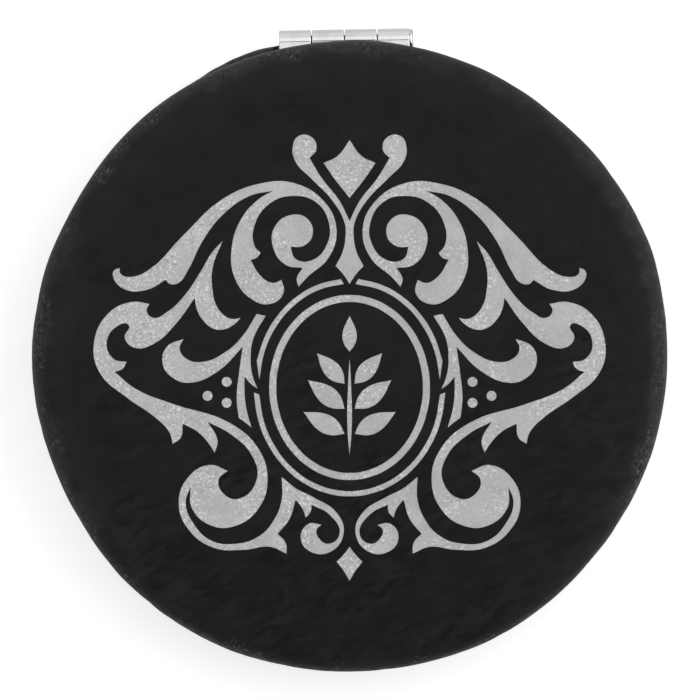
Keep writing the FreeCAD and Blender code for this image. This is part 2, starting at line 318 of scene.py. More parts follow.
def divided(line, step):
    """The same line with points added on its long runs."""
    points = [line[0]]
    for start, end in zip(line, line[1:]):
        count = max(1, math.ceil(math.dist(start, end) / step))
        for index in range(1, count + 1):
            share = index / count
            points.append([a + (b - a) * share for a, b in zip(start, end)])
    return points


def sweep(bm, ring, line):
    """Draws a ring of edges out along a section line."""
    for radius, height in line:
        made = bmesh.ops.extrude_edge_only(bm, edges=ring)["geom"]
        verts = {part for part in made if isinstance(part, bmesh.types.BMVert)}
        edges = [part for part in made if isinstance(part, bmesh.types.BMEdge)]
        ring = [edge for edge in edges if verts.issuperset(edge.verts)]
        for vert in verts:
            scale = radius / vert.co.xy.length
            vert.co = (vert.co.x * scale, vert.co.y * scale, height)
    return ring


def turn_over(bm):
    """Turns a half over from the base to the lid."""
    turn = Matrix.Rotation(math.pi, 3, "Y")
    bmesh.ops.rotate(bm, verts=bm.verts, cent=(0, 0, AXIS_HEIGHT), matrix=turn)


def crease_at(place, start):
    """How deep a place lies in a crease, and how high on a mound, each up to about 1."""
    sway = noise.noise_vector(place / WRINKLE_SWAY_SIZE + start) * WRINKLE_SWAY
    x, y, z = place + sway
    lean = math.radians(WRINKLE_LEAN)
    along = x * math.cos(lean) + y * math.sin(lean)
    across = y * math.cos(lean) - x * math.sin(lean)
    spot = Vector((along / WRINKLE_LENGTH, across / WRINKLE_WIDTH, z / WRINKLE_WIDTH)) + start
    front = noise.noise(place / PATCH_SIZE + start) - place.y / PATCH_FRONT_REACH
    patch = smooth_step(front, PATCH_START, PATCH_END)
    line = max(0, 1 - abs(noise.noise(spot)) / CREASE_SHARE)
    return patch * line * line, noise.noise(spot * MOUND_STRETCH)


def swell_at(angle, stops):
    """How far an outline stands out at an angle, smooth between the given places."""
    ends = stops[1:] + ((stops[0][0] + FULL_TURN, stops[0][1]),)
    for (start, low), (end, high) in zip(stops, ends):
        if start <= angle <= end:
            return MM * (low + (high - low) * smooth_step(angle, start, end))
    return 0


def outward(radius, height):
    """Direction out of the cover, across and up, at a place on its outside."""
    across = max(0, radius - FLAT_RADIUS)
    if height > FACE_EDGE[1]:
        across += min(0, radius - RECESS_EDGE[0])
    up = min(0, height - FACE_EDGE[1]) + max(0, height - RIM_EDGE[1])
    length = max(math.hypot(across, up), LEAST_LENGTH)
    return (across / length, up / length)


def wrinkle_outside(bm, is_lid):
    """Wrinkles the outside of a half and makes its outline uneven."""
    side = -1 if is_lid else 1
    start = LID_WRINKLE_PLACE if is_lid else BASE_WRINKLE_PLACE
    stops = LID_SWELL if is_lid else BASE_SWELL
    for vert in bm.verts:
        x, y, height = vert.co
        radius = vert.co.xy.length
        place = Vector((side * x, y, height))
        crease, mound = crease_at(place, start)
        lift = MOUND_DEPTH * mound - CREASE_DEPTH * crease
        if height > FACE_EDGE[1]:
            around = place.normalized() * PUCKER_START / PUCKER_WIDTH
            pucker = noise.noise(Vector((around.x, around.y, height / PUCKER_START)) + start)
            lift += PUCKER_DEPTH * pucker * (1 - smooth_step(radius, PUCKER_START, PUCKER_END))
        across, up = outward(radius, height)
        angle = math.degrees(math.atan2(place.y, place.x)) % FULL_TURN
        swell = swell_at(angle, stops) * smooth_step(radius, SWELL_START, SWELL_END)
        scale = 1 + (lift * across + swell) / max(radius, LEAST_RADIUS)
        vert.co = (x * scale, y * scale, height + lift * up)


def cover_shell(name, is_lid):
    """Closed cover of a half: face, side, rim, recess wall, turned end and glued side."""
    bm = bmesh.new()
    ring = disc_grid(bm, FLAT_RADIUS, 0)
    outside = divided(section_line(0, OUTSIDE_STEP), OUTSIDE_STEP)
    glued_side = section_line(COVER_THICKNESS, GLUED_SIDE_STEP)
    ring = sweep(bm, ring, outside[1:])
    wrinkle_outside(bm, is_lid)
    ring = sweep(bm, ring, reversed(glued_side))
    bmesh.ops.edgeloop_fill(bm, edges=ring)
    if is_lid:
        turn_over(bm)
    bmesh.ops.recalc_face_normals(bm, faces=bm.faces)
    return add_piece(name, bm)


def hinge_room(is_lid):
    """Tool that clears the barrel from a cover."""
    bm = bmesh.new()
    turn = Matrix.Rotation(math.pi / 2, 4, "Y")
    bmesh.ops.create_cone(
        bm,
        cap_ends=True,
        segments=NOTCH_SIDES,
        radius1=NOTCH_RADIUS,
        radius2=NOTCH_RADIUS,
        depth=2 * NOTCH_HALF_LENGTH,
        matrix=Matrix.Translation((0, HINGE_AXIS_Y, AXIS_HEIGHT)) @ turn,
    )
    if is_lid:
        turn_over(bm)
    return add_piece("hinge_room", bm)


def leaf_room(is_lid):
    """Tool that clears the leaf from a cover."""
    bm = bmesh.new()
    place = Matrix.Translation(LEAF_SLOT_MIDDLE) @ Matrix.Diagonal((*LEAF_SLOT, 1))
    bmesh.ops.create_cube(bm, size=1, matrix=place)
    if is_lid:
        turn_over(bm)
    return add_piece("leaf_room", bm)


def mirrored(stretches):
    """Outline of the right side that belongs to one of the left."""
    return [[(-x, y) for x, y in stretch] for stretch in stretches]


def closed(stretches):
    """Closed outline as points that say whether they are corners."""
    return [(x, y, index == 0) for stretch in stretches for index, (x, y) in enumerate(stretch)]


def whole(half):
    """Closed outline of an axis piece, from its left half."""
    points = closed(half)
    back = [(-x, y, corner) for x, y, corner in reversed(points[1:-1])]
    return points + back


def oval(size, start, end):
    """Points along an oval from one angle to another."""
    width, height = size
    count = max(1, round(abs(end - start) / OVAL_STEP))
    angles = [math.radians(start + (end - start) * index / count) for index in range(count + 1)]
    return [(width * math.cos(angle), OVAL_MIDDLE + height * math.sin(angle)) for angle in angles]


def other_side(angle):
    """Angle of the place on the right of an oval that mirrors one on the left, going round below."""
    return FULL_TURN + HALF_TURN - angle


def narrowed(size, band):
    """Inner edge of an oval's band."""
    width, height = size
    return (width - band, height - band)


def full_oval(size):
    """Whole oval without a corner."""
    return [(x, y, False) for x, y in oval(size, 0, FULL_TURN)[:-1]]


def banded(outer, inner):
    """Outline of a piece of band, with a corner at each end of its two edges."""
    points = []
    for edge in (outer, inner):
        last = len(edge) - 1
        points += [(x, y, index in (0, last)) for index, (x, y) in enumerate(edge)]
    return points


def dot(middle, radius):
    """Small round."""
    x, y = middle
    return [(x + radius, y, False), (x, y + radius, False), (x - radius, y, False), (x, y - radius, False)]


def set_at(outline, place, turn, size):
    """Copy of an outline, sized, turned and moved."""
    cos = size * math.cos(math.radians(turn))
    sin = size * math.sin(math.radians(turn))
    left, up = place
    return [(left + x * cos - y * sin, up + x * sin + y * cos, corner) for x, y, corner in outline]


def sprig_outlines():
    """Leaf sprig: a stem, pairs of leaves and one leaf on top."""
    leaf = whole(SPRIG_LEAF)
    outlines = [whole(SPRIG_STEM), set_at(leaf, SPRIG_TOP, 0, SPRIG_TOP_SIZE)]
    for height, lean, size in SPRIG_PAIRS:
        for side in (-1, 1):
            outlines.append(set_at(leaf, (side * SPRIG_LEAF_OFFSET, height), -side * lean, size))
    return outlines


def oval_outlines():
    """Inner ring, and the outer ring in three pieces."""
    outer_inside = narrowed(OUTER_OVAL, OUTER_OVAL_BAND)
    top_left = banded(
        oval(OUTER_OVAL, *OUTER_TOP_ANGLES),
        oval(outer_inside, *OUTER_TOP_INNER_ANGLES)[::-1],
    )
    top_right = [(-x, y, corner) for x, y, corner in top_left]
    bottom = banded(
        oval(OUTER_OVAL, OUTER_BOTTOM_ANGLE, other_side(OUTER_BOTTOM_ANGLE)),
        oval(outer_inside, other_side(OUTER_BOTTOM_INNER_ANGLE), OUTER_BOTTOM_INNER_ANGLE),
    )
    inner_rings = [full_oval(INNER_OVAL), full_oval(narrowed(INNER_OVAL, INNER_OVAL_BAND))]
    return inner_rings + [top_left, top_right, bottom]


def ornament_outlines():
    """Every outline of the ornament."""
    outlines = [whole(half) for half in (TOP_LOZENGE, BOTTOM_LOZENGE, BALL_STEM)]
    for left in (WING_SCROLL, PALM_SCROLL, SPIKE_LEAF):
        outlines += [closed(left), closed(mirrored(left))]
    for x, y in SIDE_DOTS:
        outlines += [dot((x, y), DOT_RADIUS), dot((-x, y), DOT_RADIUS)]
    return outlines + oval_outlines() + sprig_outlines()


def ornament_cutter():
    """Upright prism over the whole ornament."""
    curve = bpy.data.curves.new("ornament_outline", "CURVE")
    curve.dimensions = "2D"
    curve.fill_mode = "BOTH"
    curve.resolution_u = OUTLINE_STEPS
    curve.extrude = (CUTTER_TOP + ORNAMENT_CUT) / 2
    left, up = ORNAMENT_MIDDLE
    for outline in ornament_outlines():
        spline = curve.splines.new("BEZIER")
        spline.bezier_points.add(len(outline) - 1)
        spline.use_cyclic_u = True
        for knot, (x, y, corner) in zip(spline.bezier_points, outline):
            handle = "VECTOR" if corner else "AUTO"
            knot.co = ((x + left) * ORNAMENT_UNIT, (y + up) * ORNAMENT_UNIT, 0)
            knot.handle_left_type = handle
            knot.handle_right_type = handle
    drawn = bpy.data.objects.new("ornament_outline", curve)
    bpy.context.scene.collection.objects.link(drawn)
    graph = bpy.context.evaluated_depsgraph_get()
    mesh = bpy.data.meshes.new_from_object(drawn.evaluated_get(graph))
    bpy.data.objects.remove(drawn)
    bm = bmesh.new()
    bm.from_mesh(mesh)
    bmesh.ops.remove_doubles(bm, verts=bm.verts, dist=LEAST_LENGTH)
    bmesh.ops.recalc_face_normals(bm, faces=bm.faces)
    middle = TOTAL_HEIGHT + (CUTTER_TOP - ORNAMENT_CUT) / 2
    turn = Matrix.Rotation(math.radians(ORNAMENT_TURN), 4, "Z")
    bm.transform(Matrix.Translation((0, 0, middle)) @ turn)
    return add_piece("ornament_cutter", bm)


def ornament_layer():
    """Wrinkled plate that the ornament is cut from."""
    bm = bmesh.new()
    ring = disc_grid(bm, FLAT_RADIUS, 0)
    for vert in bm.verts:
        crease, mound = crease_at(vert.co, LID_WRINKLE_PLACE)
        vert.co.z = TOTAL_HEIGHT - ORNAMENT_SINK + MOUND_DEPTH * mound - CREASE_DEPTH * crease
    ring = sweep(bm, ring, [(FLAT_RADIUS, TOTAL_HEIGHT - ORNAMENT_BOTTOM)])
    bmesh.ops.edgeloop_fill(bm, edges=ring)
    bmesh.ops.recalc_face_normals(bm, faces=bm.faces)
    return add_piece("lid_ornament", bm)


def mark_creases(piece, is_lid):
    """Keeps on a piece how deep each point lies in a crease, for its material to darken as painted shade.
    """
    start = LID_WRINKLE_PLACE if is_lid else BASE_WRINKLE_PLACE
    creases = piece.data.attributes.new("crease", "FLOAT", "POINT")
    for vert, mark in zip(piece.data.vertices, creases.data):
        x, y, z = vert.co
        place = Vector((x, y, TOTAL_HEIGHT - z if is_lid else z))
        mark.value = crease_at(place, start)[0]


def make_cover(name, node, is_lid, cutter):
    """Leatherette cover that stands for a CAD node."""
    piece = cover_shell(name, is_lid)
    for room in (hinge_room(is_lid), leaf_room(is_lid)):
        carve(piece, room, "DIFFERENCE")
        bpy.data.objects.remove(room)
    if cutter:
        carve(piece, cutter, "DIFFERENCE")
    clean_cuts(piece)
    mark_creases(piece, is_lid)
    shade_smooth(piece)
    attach(piece, "lid" if is_lid else "base")
    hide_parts(node)
    return piece


def make_foam(name, node, is_lid):
    """Foam pad with its lower edge rounded like the core above it."""
    bm = bmesh.new()
    bmesh.ops.create_circle(bm, cap_ends=True, segments=FOAM_SIDES, radius=FLAT_RADIUS)
    bmesh.ops.translate(bm, verts=bm.verts, vec=(0, 0, FOAM_BOTTOM))
    ring = [edge for edge in bm.edges if edge.is_boundary]
    top = math.acos((FOAM_BOTTOM + FOAM_EDGE_RADIUS - FOAM_TOP) / FOAM_EDGE_RADIUS)
    line = []
    for index in range(1, FOAM_EDGE_STEPS + 1):
        angle = top * index / FOAM_EDGE_STEPS
        across = FLAT_RADIUS + FOAM_EDGE_RADIUS * math.sin(angle)
        line.append((across, FOAM_BOTTOM + FOAM_EDGE_RADIUS * (1 - math.cos(angle))))
    ring = sweep(bm, ring, line)
    bmesh.ops.edgeloop_fill(bm, edges=ring)
    if is_lid:
        turn_over(bm)
    bmesh.ops.recalc_face_normals(bm, faces=bm.faces)
    piece = add_piece(name, bm)
    shade_smooth(piece)
    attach(piece, "lid" if is_lid else "base")
    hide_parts(node)
    return piece


noise.seed_set(WRINKLE_SEED)
cutter = ornament_cutter()
lid_ornament = ornament_layer()
carve(lid_ornament, cutter, "INTERSECT")
clean_cuts(lid_ornament)
mark_creases(lid_ornament, True)
shade_smooth(lid_ornament)
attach(lid_ornament, "lid")
lid_cover = make_cover("lid_cover", "lid_leatherette", True, cutter)
base_cover = make_cover("base_cover", "base_leatherette", False, None)
bpy.data.objects.remove(cutter)
lid_foam = make_foam("lid_foam", "lid_foam_pad", True)
base_foam = make_foam("base_foam", "base_foam_pad", False)


# Materials
MIX_FIRST = 6
MIX_SECOND = 7
MIX_RESULT = 2
FLATTENED = (1, 1, 0)


def grey(tone):
    """Colour without a tint."""
    return (tone, tone, tone, 1)


def feed(tree, value, socket):
    """Links an output to a socket, or sets the socket's own value."""
    if isinstance(value, bpy.types.NodeSocket):
        tree.links.new(value, socket)
    else:
        socket.default_value = value


def add_node(tree, kind, inputs, **settings):
    """Node of a kind, with its settings and what its inputs are fed."""
    node = tree.nodes.new("ShaderNode" + kind)
    for name, value in settings.items():
        setattr(node, name, value)
    for name, value in inputs.items():
        feed(tree, value, node.inputs[name])
    return node


def ranged(tree, value, ramp):
    """Value carried softly along a ramp, which gives its first and last value and what they become."""
    start, end, low, high = ramp
    inputs = {"Value": value, "From Min": start, "From Max": end, "To Min": low, "To Max": high}
    return add_node(tree, "MapRange", inputs, interpolation_type="SMOOTHSTEP").outputs["Result"]


def reckoned(tree, operation, first, second):
    """Sum, difference or the like of two values."""
    return add_node(tree, "Math", {0: first, 1: second}, operation=operation).outputs[0]


def product(tree, first, second):
    """Product of two values."""
    return reckoned(tree, "MULTIPLY", first, second)


def blended(tree, share, first, second):
    """Colour between two colours."""
    inputs = {0: share, MIX_FIRST: first, MIX_SECOND: second}
    return add_node(tree, "Mix", inputs, data_type="RGBA").outputs[MIX_RESULT]


def parted(tree, place):
    """Place as its lengths along X, Y and Z."""
    return add_node(tree, "SeparateXYZ", {"Vector": place}).outputs


def speckled(tree, place, fineness, detail):
    """Noise with a number of spots to the metre and of finer layers in them."""
    inputs = {"Vector": place, "Scale": fineness, "Detail": detail}
    return add_node(tree, "TexNoise", inputs).outputs["Fac"]


def stretched(tree, place, turn, size):
    """Place turned, then measured in lengths that differ along and across, for marks that run one way."""
    inputs = {"Vector": place, "Rotation": (0, 0, math.radians(turn)), "Scale": size}
    return add_node(tree, "Mapping", inputs, vector_type="TEXTURE").outputs["Vector"]


def from_axis(tree, place):
    """Distance from the upright axis of the compact."""
    flat = add_node(tree, "VectorMath", {0: place, 1: FLATTENED}, operation="MULTIPLY").outputs["Vector"]
    return add_node(tree, "VectorMath", {0: flat}, operation="LENGTH").outputs["Value"]


def bumped(tree, shader, height, depth):
    """Gives a shader relief of a real depth."""
    bump = add_node(tree, "Bump", {"Height": height, "Distance": depth, "Strength": 1.0})
    feed(tree, bump.outputs["Normal"], shader.inputs["Normal"])


def new_group(name, inputs, outputs):
    """Node group with a place, some values in and some values out."""
    group = bpy.data.node_groups.new(name, "ShaderNodeTree")
    group.interface.new_socket("Place", in_out="INPUT", socket_type="NodeSocketVector")
    for socket in inputs:
        group.interface.new_socket(socket, in_out="INPUT", socket_type="NodeSocketFloat")
    for socket in outputs:
        group.interface.new_socket(socket, in_out="OUTPUT", socket_type="NodeSocketFloat")
    start = group.nodes.new("NodeGroupInput")
    end = group.nodes.new("NodeGroupOutput")
    return group, start.outputs, end.inputs


# Effects that materials share: sizes, shares and ramps
PEBBLE_SIZE = 0.34 * MM
PORE_SIZE = 0.12 * MM
PORE_SHARE = 0.7
MOTTLE_SIZE = 2.6 * MM
FILM_CRINKLE_SIZE = 0.26 * MM
EDGE_CRINKLE_SIZE = 0.36 * MM
CRINKLE_TWIST = 0.9
CRINKLE_PATCH_SIZE = 3.8 * MM
CRINKLE_PATCH = (0.4, 0.6, 0, 1)
CRINKLE_CALM = 0.25
CRINKLE_FOLD = (0.53, 0.67, 0, 1)
CRINKLE_PIT = (0.46, 0.33, 0, 1)
STREAK_SIZE = (2.2 * MM, 0.75 * MM, 0.75 * MM)
STREAK_SWAY_SIZE = 2.4 * MM
STREAK_SWAY = (1.6 * MM, 1.6 * MM, 1.6 * MM)
STREAK_PATCH = (0.4, 0.75, 0.12, 1)
STREAK_VALLEY = (0.54, 0.36, 0, 1)
STREAK_RIDGE = (0.5, 0.68, 0, 1)
CREASE_SHADE_SHARE = 0.6
SMUDGE = (0.45, 0.7, 0, 1)
SCRATCH_SIZE = (2.5 * MM, 0.1 * MM, 2.5 * MM)
SCRATCH_LEAN = 35
SCRATCH = (0.68, 0.76, 0, 1)
SCRATCH_RELIEF = 0.0004 * MM
CLOUD_SIZE = 6 * MM


def hide_grain_group():
    """Pebbled grain of pressed leatherette, and the mottling over it."""
    group, given, result = new_group("hide_grain", ["Pebbles", "Pores"], ["Height", "Mottle"])
    inputs = {"Vector": given["Place"], "Scale": given["Pebbles"]}
    cells = add_node(group, "TexVoronoi", inputs, feature="SMOOTH_F1")
    rounds = reckoned(group, "SUBTRACT", 1, cells.outputs["Distance"])
    pores = product(group, speckled(group, given["Place"], given["Pores"], detail=2), PORE_SHARE)
    feed(group, reckoned(group, "ADD", rounds, pores), result["Height"])
    feed(group, speckled(group, given["Place"], 1 / MOTTLE_SIZE, detail=4), result["Mottle"])
    return group


def crinkle_group():
    """Fine crinkle in patches: where its folds get painted glints and its pits painted shade."""
    group, given, result = new_group("crinkle", ["Fineness", "Calm", "Cover"], ["Fold", "Pit"])
    inputs = {
        "Vector": given["Place"],
        "Scale": given["Fineness"],
        "Detail": 3,
        "Distortion": CRINKLE_TWIST,
    }
    fine = add_node(group, "TexNoise", inputs).outputs["Fac"]
    spots = speckled(group, given["Place"], 1 / CRINKLE_PATCH_SIZE, detail=3)
    patch = ranged(group, reckoned(group, "ADD", spots, given["Cover"]), CRINKLE_PATCH)
    share = reckoned(group, "MAXIMUM", patch, given["Calm"])
    feed(group, product(group, ranged(group, fine, CRINKLE_FOLD), share), result["Fold"])
    feed(group, product(group, ranged(group, fine, CRINKLE_PIT), share), result["Pit"])
    return group


def streak_group():
    """Soft short wrinkles that run up to the right, more of them towards the front."""
    group, given, result = new_group("wrinkle_streaks", [], ["Valley", "Ridge"])
    place = given["Place"]
    stir = add_node(group, "TexNoise", {"Vector": place, "Scale": 1 / STREAK_SWAY_SIZE}).outputs["Color"]
    sway = add_node(group, "VectorMath", {0: stir, 1: STREAK_SWAY}, operation="MULTIPLY").outputs["Vector"]
    swayed = add_node(group, "VectorMath", {0: place, 1: sway}, operation="ADD").outputs["Vector"]
    streak = speckled(group, stretched(group, swayed, WRINKLE_LEAN, STREAK_SIZE), 1, detail=3)
    back = reckoned(group, "DIVIDE", parted(group, place)["Y"], 2 * PATCH_FRONT_REACH)
    front = reckoned(group, "SUBTRACT", speckled(group, place, 1 / PATCH_SIZE, detail=2), back)
    share = ranged(group, front, STREAK_PATCH)
    feed(group, product(group, ranged(group, streak, STREAK_VALLEY), share), result["Valley"])
    feed(group, product(group, ranged(group, streak, STREAK_RIDGE), share), result["Ridge"])
    return group


def handling_group():
    """Smudges and fine scratches of a handled hard surface."""
    group, given, result = new_group("handling_marks", ["Spots"], ["Smudge", "Scratch"])
    spots = speckled(group, given["Place"], given["Spots"], detail=4)
    lines = speckled(group, stretched(group, given["Place"], SCRATCH_LEAN, SCRATCH_SIZE), 1, detail=2)
    feed(group, ranged(group, spots, SMUDGE), result["Smudge"])
    feed(group, ranged(group, lines, SCRATCH), result["Scratch"])
    return group


def moulded_group():
    """Fine tooth of a moulded or pressed surface, and its cloudiness."""
    group, given, result = new_group("moulded_tooth", ["Tooth"], ["Height", "Cloud"])
    feed(group, speckled(group, given["Place"], given["Tooth"], detail=3), result["Height"])
    feed(group, speckled(group, given["Place"], 1 / CLOUD_SIZE, detail=3), result["Cloud"])
    return group


hide_grain = hide_grain_group()
crinkle = crinkle_group()
wrinkle_streaks = streak_group()
handling_marks = handling_group()
moulded_tooth = moulded_group()


def begin_material(name, settings):
    """Material with the settings that are the same all over, its nodes, shader and place."""
    material = bpy.data.materials.new(name)
    material.use_nodes = True
    tree = material.node_tree
    shader = tree.nodes["Principled BSDF"]
    for socket, value in settings.items():
        shader.inputs[socket].default_value = value
    place = add_node(tree, "TexCoord", {}).outputs["Object"]
    return material, tree, shader, place


def placed_group(tree, group, inputs):
    """Node group set in a material."""
    node = tree.nodes.new("ShaderNodeGroup")
    node.node_tree = group
    for name, value in inputs.items():
        feed(tree, value, node.inputs[name])
    return node.outputs


def hide_groups(tree, place, crinkle_size, cover):
    """Grain, crinkle, and hollows and ridges of the wrinkles, for the cover and its ornament. The hollows
    and pits get painted shade, and the folds, and on the cover the ridges, painted highlights.
    """
    inputs = {"Place": place, "Pebbles": 1 / PEBBLE_SIZE, "Pores": 1 / PORE_SIZE}
    grain = placed_group(tree, hide_grain, inputs)
    inputs = {"Place": place, "Fineness": 1 / crinkle_size, "Calm": CRINKLE_CALM, "Cover": cover}
    folds = placed_group(tree, crinkle, inputs)
    streaks = placed_group(tree, wrinkle_streaks, {"Place": place})
    crease = add_node(tree, "Attribute", {}, attribute_name="crease").outputs["Fac"]
    # Hollows of the streaks, with the crease depth, which the materials darken as painted shade.
    hollow = reckoned(tree, "MAXIMUM", streaks["Valley"], product(tree, crease, CREASE_SHADE_SHARE))
    return grain, folds, hollow, streaks["Ridge"]


MOTTLE = (0.3, 0.7, 0, 1)

# Leatherette: colours, and ramps that say where they show. The darker front, hollow and pit colours are
# painted shade, and the paler ridge, rim, fold and outer edge colours are painted highlights.
HIDE_GLOSS = 0.1
HIDE_DARK = (0.0085, 0.0085, 0.0087, 1)
HIDE_PALE = (0.0115, 0.0115, 0.0117, 1)
HIDE_FRONT_SHADE = (0.004, 0.004, 0.0041, 1)
HIDE_HOLLOW_SHADE = (0.003, 0.003, 0.0031, 1)
HIDE_RIDGE_HIGHLIGHT = (0.02, 0.02, 0.0202, 1)
HIDE_RIM_SHEEN = grey(0.045)
HIDE_GLINT = grey(0.09)
HIDE_PIT_SHADE = grey(0.004)
HIDE_EDGE_HIGHLIGHT = grey(0.075)
FRONT_DARKNESS = (4 * MM, -26 * MM, 0, 0.36)
RIDGE_HIGHLIGHT_SHARE = 0.3
BACK_RIGHT = (0.7, 0.7, 0)
CORNER_SHADE = (22.5 * MM, 28 * MM, 1, 0.5)
CORNER_GLINTS_AND_PITS = (20 * MM, 27 * MM, 1, 0.28)
RIM_SWAY_SIZE = 2.6 * MM
RIM_SWAY = (0.3, 0.7, -0.55 * MM, 0.55 * MM)
RIM_SHEEN = (29.2 * MM, 31.5 * MM, 0, 1)
FAINT_SHEEN = (26 * MM, 30 * MM, 0, 0.2)
BACK_SHEEN = (-29 * MM, -9 * MM, 0.06, 0.52)
RIM_GLINTS_AND_PITS = (29.9 * MM, 31.0 * MM, 0, 1)
GLINTS_AND_PITS_REACH = (-22 * MM, -4 * MM, -0.9 * MM, 0)
SHOULDER_OUT = (31.2 * MM, 31.7 * MM, 0, 1)
SHOULDER_UP = (2.6 * MM, 1.7 * MM, 0, 1)
EDGE_HIGHLIGHT_SIZE = 0.9 * MM
EDGE_HIGHLIGHT_PATCH = (0.4, 0.64, 0.04, 0.55)
EDGE_HIGHLIGHT_FOLD_SHARE = 0.7
LEFT_EDGE_HIGHLIGHT = (-27 * MM, -12 * MM, 0.2, 1)
HIDE_ROUGHNESS = (0.6, 1.4, 0.56, 0.44)
HOLLOW_DEPTH = 1.5
HIDE_RELIEF = 0.02 * MM


def leather_material():
    """Black leatherette: pebbled, with painted shade towards the front and in its wrinkles, painted
    highlights on their ridges, and painted sheen, glints and pit shade round the edge.
    """
    material, tree, shader, place = begin_material("leatherette", {"Specular IOR Level": HIDE_GLOSS})
    grain, folds, hollow, ridge = hide_groups(tree, place, EDGE_CRINKLE_SIZE, cover=0)
    across, back, up = parted(tree, place)
    radius = from_axis(tree, place)
    sway = ranged(tree, speckled(tree, place, 1 / RIM_SWAY_SIZE, detail=2), RIM_SWAY)
    uneven = reckoned(tree, "ADD", radius, sway)
    along = add_node(tree, "VectorMath", {0: place, 1: BACK_RIGHT}, operation="DOT_PRODUCT")
    corner = along.outputs["Value"]
    shade = ranged(tree, corner, CORNER_SHADE)

    colour = blended(tree, ranged(tree, grain["Mottle"], MOTTLE), HIDE_DARK, HIDE_PALE)
    # Painted shade: darker towards the front.
    colour = blended(tree, ranged(tree, back, FRONT_DARKNESS), colour, HIDE_FRONT_SHADE)
    # Painted shade in the wrinkle hollows and creases.
    colour = blended(tree, hollow, colour, HIDE_HOLLOW_SHADE)
    # Painted highlight on the wrinkle ridges.
    colour = blended(tree, product(tree, ridge, RIDGE_HIGHLIGHT_SHARE), colour, HIDE_RIDGE_HIGHLIGHT)

    # Painted sheen: a paler band round the rim, weaker towards the front and at the back right.
    sheen_band = reckoned(tree, "MAXIMUM", ranged(tree, uneven, RIM_SHEEN), ranged(tree, radius, FAINT_SHEEN))
    sheen_strength = product(tree, ranged(tree, back, BACK_SHEEN), shade)
    colour = blended(tree, product(tree, sheen_band, sheen_strength), colour, HIDE_RIM_SHEEN)

    # Painted glints and painted shade in pits, in an uneven band round the rim, reaching less far in at
    # the front and fewer at the back right.
    reach = reckoned(tree, "ADD", uneven, ranged(tree, back, GLINTS_AND_PITS_REACH))
    glints_and_pits = product(tree, ranged(tree, reach, RIM_GLINTS_AND_PITS), ranged(tree, corner, CORNER_GLINTS_AND_PITS))
    colour = blended(tree, product(tree, folds["Fold"], glints_and_pits), colour, HIDE_GLINT)
    colour = blended(tree, product(tree, folds["Pit"], glints_and_pits), colour, HIDE_PIT_SHADE)

    # Painted highlight along the outer edge of the rim, in patches, weaker on the left and at the back
    # right.
    inset = reckoned(tree, "MINIMUM", up, reckoned(tree, "SUBTRACT", TOTAL_HEIGHT, up))
    shoulder = product(tree, ranged(tree, radius, SHOULDER_OUT), ranged(tree, inset, SHOULDER_UP))
    kept = product(tree, shade, ranged(tree, across, LEFT_EDGE_HIGHLIGHT))
    patch = ranged(tree, speckled(tree, place, 1 / EDGE_HIGHLIGHT_SIZE, detail=4), EDGE_HIGHLIGHT_PATCH)
    rough_patch = reckoned(tree, "MAXIMUM", patch, product(tree, folds["Fold"], EDGE_HIGHLIGHT_FOLD_SHARE))
    edge_highlight = product(tree, product(tree, shoulder, kept), rough_patch)
    colour = blended(tree, edge_highlight, colour, HIDE_EDGE_HIGHLIGHT)

    feed(tree, colour, shader.inputs["Base Color"])
    feed(tree, ranged(tree, grain["Height"], HIDE_ROUGHNESS), shader.inputs["Roughness"])
    height = reckoned(tree, "SUBTRACT", grain["Height"], product(tree, hollow, HOLLOW_DEPTH))
    bumped(tree, shader, height, HIDE_RELIEF)
    return material


# Silver film of the ornament
FILM_GLOSS = 0.4
FILM_DARK = (0.43, 0.43, 0.435, 1)
FILM_PALE = grey(0.485)
FILM_LEFT = grey(0.8)
# The hollow and pit colours are painted shade, and the fold colour is a painted glint.
FILM_HOLLOW_SHADE = (0.36, 0.36, 0.365, 1)
FILM_GLINT = grey(0.72)
FILM_PIT_SHADE = (0.35, 0.35, 0.355, 1)
FILM_COVER = (-24 * MM, 14 * MM, 0.09, -0.01)
FILM_LEFT_SHARE = (-24 * MM, 20 * MM, 0.08, 0)
FILM_HOLLOW_SHADE_SHARE = 0.3
FILM_ROUGHNESS = (0.6, 1.4, 0.5, 0.38)
FILM_METAL = (0.3, 0.7, 0.35, 0.6)
FILM_FOLD_HEIGHT = 0.8
FILM_RELIEF = 0.015 * MM


def silver_material():
    """Silver film pressed into the hide, with painted glints on its crinkles and painted shade in its pits
    and wrinkle hollows.
    """
    material, tree, shader, place = begin_material("ornament_silver", {"Specular IOR Level": FILM_GLOSS})
    across = parted(tree, place)["X"]
    cover = ranged(tree, across, FILM_COVER)
    grain, folds, hollow, _ = hide_groups(tree, place, FILM_CRINKLE_SIZE, cover)
    colour = blended(tree, ranged(tree, grain["Mottle"], MOTTLE), FILM_DARK, FILM_PALE)
    colour = blended(tree, ranged(tree, across, FILM_LEFT_SHARE), colour, FILM_LEFT)
    # Painted shade in the wrinkle hollows and creases.
    colour = blended(tree, product(tree, hollow, FILM_HOLLOW_SHADE_SHARE), colour, FILM_HOLLOW_SHADE)
    # Painted glints on the crinkle folds and painted shade in its pits.
    colour = blended(tree, folds["Fold"], colour, FILM_GLINT)
    colour = blended(tree, folds["Pit"], colour, FILM_PIT_SHADE)
    feed(tree, colour, shader.inputs["Base Color"])
    feed(tree, ranged(tree, grain["Height"], FILM_ROUGHNESS), shader.inputs["Roughness"])
    feed(tree, ranged(tree, grain["Mottle"], FILM_METAL), shader.inputs["Metallic"])
    height = reckoned(tree, "ADD", grain["Height"], product(tree, folds["Fold"], FILM_FOLD_HEIGHT))
    bumped(tree, shader, height, FILM_RELIEF)
    return material


